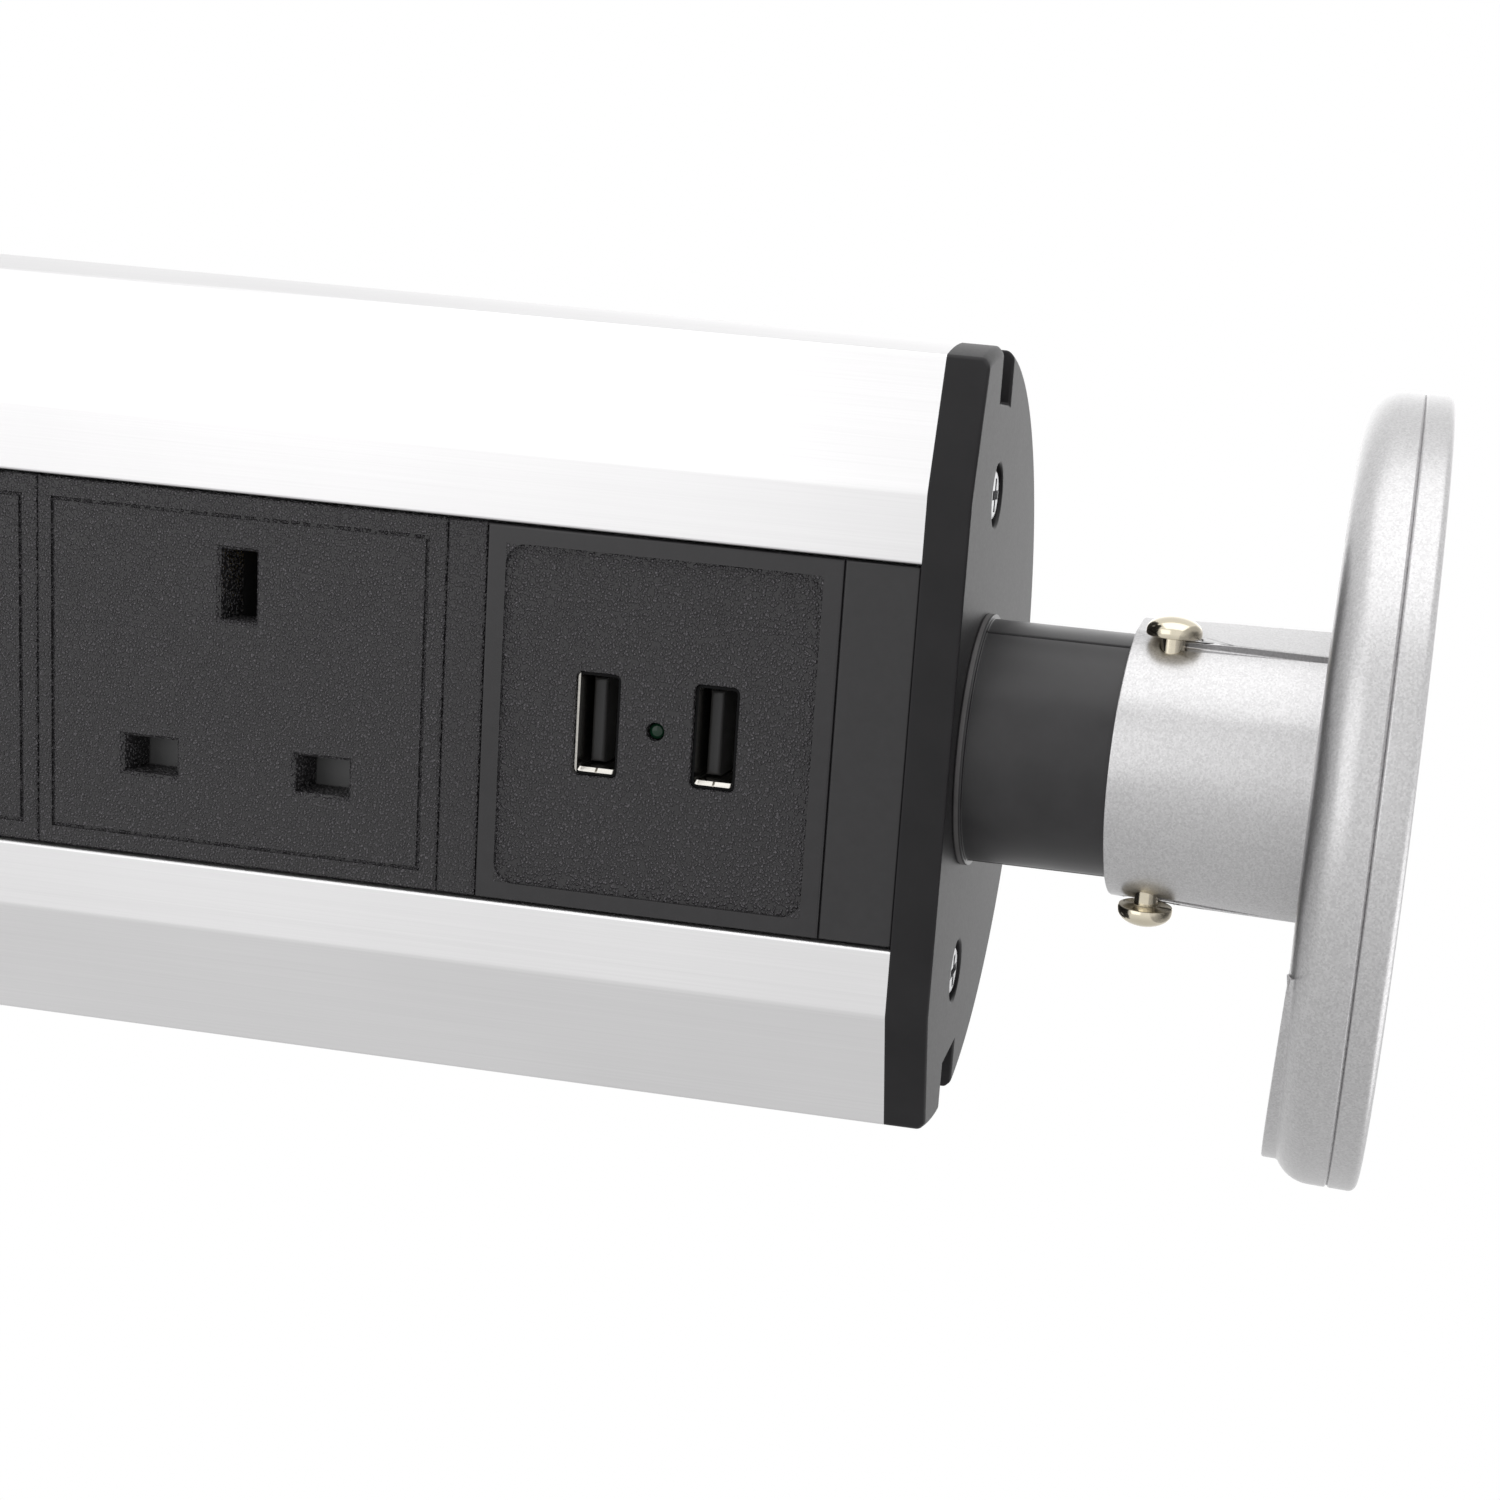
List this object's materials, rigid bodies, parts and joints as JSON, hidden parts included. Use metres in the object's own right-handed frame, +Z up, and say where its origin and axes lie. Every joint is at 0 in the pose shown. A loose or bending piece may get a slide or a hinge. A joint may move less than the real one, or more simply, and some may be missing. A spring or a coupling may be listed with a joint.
{
  "type": "pop up desk socket",
  "caption": "Pull-up desk power tower: D-section aluminium column with mains sockets and a USB charger, sliding in a clamped worktop sleeve under a tilting round lid.",
  "frame": {"origin": "centre of the worktop hole, level with the top of the worktop, under the ring", "axes": "+Z up the tower towards the lid, -Y the way the sockets face, +X to the right from the front"},
  "size_m": [0.132, 0.132, 0.3812],
  "materials": {
    "satin_aluminium": "fine lengthwise brushing, clear anodised",
    "ring_metal": "satin",
    "silver_paint": "metallic flake paint",
    "black_cap": "matt black",
    "black_metal": "satin black",
    "black_plastic": "satin moulded",
    "dark_moulding": "matt moulded",
    "grey_plastic": "matt",
    "sleeve_plastic": "matt moulded",
    "steel": "zinc plated",
    "port_steel": "bright",
    "pin_steel": "pale nickel",
    "contact_brass": "plain",
    "spring_steel": "plain",
    "pad_rubber": "matt",
    "board_green": "satin",
    "transformer_tape": "satin",
    "capacitor_sleeve": "gloss",
    "led_green": "clear tinted",
    "terminal_white": "matt",
    "lead_brown": "satin",
    "lead_blue": "satin",
    "lead_green": "satin"
  },
  "bodies": {
    "fitting": {"desk_ring": "ring_metal", "sleeve": "sleeve_plastic", "front_guide_1": "sleeve_plastic", "front_guide_2": "sleeve_plastic", "brake_pad_1": "pad_rubber", "brake_pad_2": "pad_rubber"},
    "washer": {"clamp_washer": "steel"},
    "nut": {"clamp_nut": "sleeve_plastic"},
    "shutter_a": {"shutter_1": "grey_plastic"},
    "shutter_b": {"shutter_2": "grey_plastic"},
    "shutter_c": {"shutter_3": "grey_plastic"},
    "lid": {"lid_base": "silver_paint", "lid_plate": "silver_paint", "hinge_pin_1": "pin_steel", "hinge_pin_2": "pin_steel"},
    "tower": {"profile": "satin_aluminium", "top_cap": "black_cap", "top_screw_1": "steel", "top_screw_2": "steel", "bottom_cap": "dark_moulding", "bottom_screw_1": "steel", "bottom_screw_2": "steel", "socket_plate_1": "black_plastic", "socket_plate_2": "black_plastic", "socket_plate_3": "black_plastic", "socket_base": "dark_moulding", "base_cover": "dark_moulding", "live_bar": "contact_brass", "neutral_bar": "contact_brass", "earth_bar": "contact_brass", "shutter_spring_1": "spring_steel", "shutter_spring_2": "spring_steel", "shutter_spring_3": "spring_steel", "spacer": "black_plastic", "upper_blank": "black_plastic", "lower_blank": "black_plastic", "usb_panel": "black_plastic", "usb_housing": "dark_moulding", "usb_board": "board_green", "usb_shell_1": "port_steel", "usb_shell_2": "port_steel", "usb_tongue_1": "grey_plastic", "usb_tongue_2": "grey_plastic", "usb_transformer": "transformer_tape", "usb_capacitor": "capacitor_sleeve", "usb_led": "led_green", "terminal_block": "terminal_white", "terminal_screws": "contact_brass", "lead_live": "lead_brown", "lead_neutral": "lead_blue", "lead_earth": "lead_green", "cable_gland": "dark_moulding", "gland_nut": "dark_moulding", "neck": "black_metal", "neck_screw_1": "steel", "neck_screw_2": "steel"}
  },
  "joints": [
    {"name": "tower_slide", "type": "slide", "parent": "fitting", "child": "tower", "axis": [0, 0, 1], "range_m": [-0.2762, 0]},
    {"name": "lid_tilt", "type": "hinge", "parent": "tower", "child": "lid", "pos_m": [0, -0.0084, 0.2519], "axis": [-1, 0, 0], "range_deg": [0, 10]},
    {"name": "clamp_slide", "type": "slide", "parent": "fitting", "child": "washer", "axis": [0, 0, 1], "range_m": [-0.0212, 0.0242]},
    {"name": "nut_turn", "type": "hinge", "parent": "washer", "child": "nut", "pos_m": [0, 0, -0.046], "axis": [0, 0, 1], "range_deg": [-2520, 2880]},
    {"name": "shutter_slide_1", "type": "slide", "parent": "tower", "child": "shutter_a", "axis": [1, 0, 0], "range_m": [0, 0.0056], "stiffness_N_per_m": 80, "springref_m": -0.003, "deforming": ["shutter_spring_1"]},
    {"name": "shutter_slide_2", "type": "slide", "parent": "tower", "child": "shutter_b", "axis": [1, 0, 0], "range_m": [0, 0.0056], "stiffness_N_per_m": 80, "springref_m": -0.003, "deforming": ["shutter_spring_2"]},
    {"name": "shutter_slide_3", "type": "slide", "parent": "tower", "child": "shutter_c", "axis": [1, 0, 0], "range_m": [0, 0.0056], "stiffness_N_per_m": 80, "springref_m": -0.003, "deforming": ["shutter_spring_3"]}
  ],
  "couplings": [
    {"joint": "clamp_slide", "follows": "nut_turn", "m_per_rad": 0.00047746}
  ]
}
